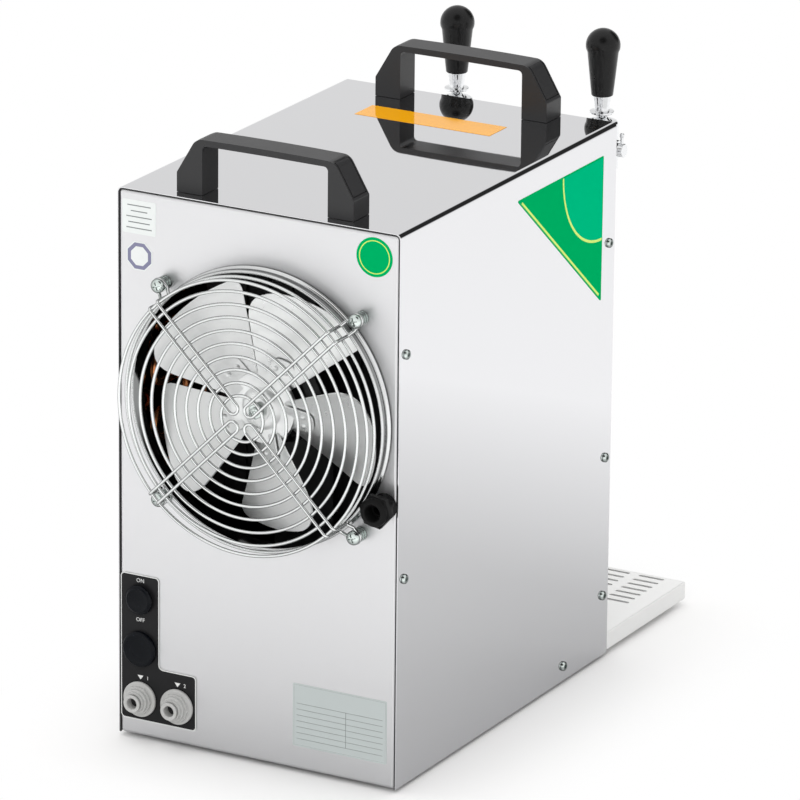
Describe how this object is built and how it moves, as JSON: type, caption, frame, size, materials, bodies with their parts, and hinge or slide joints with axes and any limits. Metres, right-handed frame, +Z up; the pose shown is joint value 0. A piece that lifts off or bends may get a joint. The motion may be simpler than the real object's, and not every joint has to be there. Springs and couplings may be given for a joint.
{
  "type": "draft beer dispenser",
  "caption": "Portable dry draft beer cooler in a sheet steel cabinet, with beer taps over a slotted drip tray, carrying handles and a guarded condenser fan at the back.",
  "frame": {"origin": "on the ground plane under the feet, at the middle of the outer box in X and Y", "axes": "+Z up, -Y towards the taps and the drip tray, +Y out of the fan at the back, +X towards the side with the beer inlets"},
  "size_m": [0.2928, 0.6088, 0.5763],
  "materials": {
    "satin_steel": "satin stainless sheet",
    "mirror_steel": "polished stainless sheet",
    "zinc_steel": "bright zinc plate",
    "chromed_wire": "bright plated wire and tube",
    "blade_aluminium": "pressed bright sheet",
    "black_paint": "semi-gloss black paint",
    "black_fins": "black coated fins",
    "copper_tube": "bare copper",
    "core_aluminium": "cast aluminium",
    "black_foam": "moulded foam",
    "black_plastic": "fine grained black plastic",
    "gloss_black": "gloss black plastic",
    "black_rubber": "matt rubber",
    "grey_nylon": "light grey moulded nylon",
    "chrome_brass": "polished chrome on brass"
  },
  "bodies": {
    "cabinet": {"base_pan": "satin_steel", "rear_panel": "satin_steel", "front_panel": "satin_steel", "wrap_cover": "mirror_steel", "fan_ring": "zinc_steel", "motor_stand": "zinc_steel", "foot_1": "black_rubber", "foot_2": "black_rubber", "foot_3": "black_rubber", "foot_4": "black_rubber", "side_screws_rear_left": "zinc_steel", "side_screws_front_left": "zinc_steel", "side_screws_rear_right": "zinc_steel", "side_screws_front_right": "zinc_steel", "handle_rear": "black_plastic", "handle_front": "black_plastic", "fan_guard": "chromed_wire", "fan_motor": "black_paint", "guard_screw_1": "zinc_steel", "guard_screw_2": "zinc_steel", "guard_screw_3": "zinc_steel", "guard_screw_4": "zinc_steel", "condenser": "black_fins", "condenser_coil": "copper_tube", "compressor": "black_paint", "suction_line": "copper_tube", "filter_drier": "copper_tube", "cooling_core": "core_aluminium", "cooling_jacket": "black_foam", "beer_coil_1": "chromed_wire", "beer_coil_2": "chromed_wire", "air_pump": "black_plastic", "control_plate": "black_plastic", "air_port": "grey_nylon", "inlet_fitting_1": "grey_nylon", "inlet_fitting_2": "grey_nylon", "gland_body": "black_plastic", "gland_nut": "black_plastic", "thermostat_body": "grey_nylon", "tap_shank_left": "chrome_brass", "tap_body_left": "chrome_brass", "tap_spout_left": "chrome_brass", "tap_shank_right": "chrome_brass", "tap_body_right": "chrome_brass", "tap_spout_right": "chrome_brass"},
    "fan_wheel": {"fan_blades": "blade_aluminium"},
    "pump_button": {"air_button": "gloss_black"},
    "outlet_cap": {"air_cap": "gloss_black"},
    "release_collet_1": {"inlet_collet_1": "grey_nylon"},
    "release_collet_2": {"inlet_collet_2": "grey_nylon"},
    "dial": {"thermostat_dial": "black_plastic"},
    "lever_left": {"tap_lever_left": "chrome_brass", "tap_knob_left": "gloss_black"},
    "lever_right": {"tap_lever_right": "chrome_brass", "tap_knob_right": "gloss_black"},
    "flow_control_left": {"flow_lever_left": "chrome_brass"},
    "flow_control_right": {"flow_lever_right": "chrome_brass"},
    "tray": {"drip_tray": "satin_steel"},
    "grille": {"drip_grille": "satin_steel"}
  },
  "joints": [
    {"name": "fan_spin", "type": "hinge", "parent": "cabinet", "child": "fan_wheel", "pos_m": [-0.006, 0.26462, 0.339], "axis": [0, 1, 0], "continuous": true},
    {"name": "button_press", "type": "slide", "parent": "cabinet", "child": "pump_button", "axis": [0, -1, 0], "range_m": [0, 0.0024], "stiffness_N_per_m": 600},
    {"name": "cap_pull", "type": "slide", "parent": "cabinet", "child": "outlet_cap", "axis": [0, 1, 0], "range_m": [0, 0.025]},
    {"name": "collet_press_1", "type": "slide", "parent": "cabinet", "child": "release_collet_1", "axis": [0, -1, 0], "range_m": [0, 0.0018]},
    {"name": "collet_press_2", "type": "slide", "parent": "cabinet", "child": "release_collet_2", "axis": [0, -1, 0], "range_m": [0, 0.0018]},
    {"name": "dial_turn", "type": "hinge", "parent": "cabinet", "child": "dial", "pos_m": [0, -0.14138, 0.46], "axis": [0, -1, 0], "range_deg": [0, 270]},
    {"name": "tap_pull_left", "type": "hinge", "parent": "cabinet", "child": "lever_left", "pos_m": [0.077, -0.23988, 0.484], "axis": [1, 0, 0], "range_deg": [-15, 30]},
    {"name": "tap_pull_right", "type": "hinge", "parent": "cabinet", "child": "lever_right", "pos_m": [-0.077, -0.23988, 0.484], "axis": [1, 0, 0], "range_deg": [-15, 30]},
    {"name": "flow_turn_left", "type": "hinge", "parent": "cabinet", "child": "flow_control_left", "pos_m": [0.077, -0.23588, 0.463], "axis": [1, 0, 0], "range_deg": [0, 90]},
    {"name": "flow_turn_right", "type": "hinge", "parent": "cabinet", "child": "flow_control_right", "pos_m": [-0.077, -0.23588, 0.463], "axis": [1, 0, 0], "range_deg": [0, 90]},
    {"name": "tray_pull", "type": "slide", "parent": "cabinet", "child": "tray", "axis": [0, -1, 0], "range_m": [0, 0.045]},
    {"name": "grille_lift", "type": "slide", "parent": "tray", "child": "grille", "axis": [0, 0, 1], "range_m": [0, 0.03]}
  ]
}
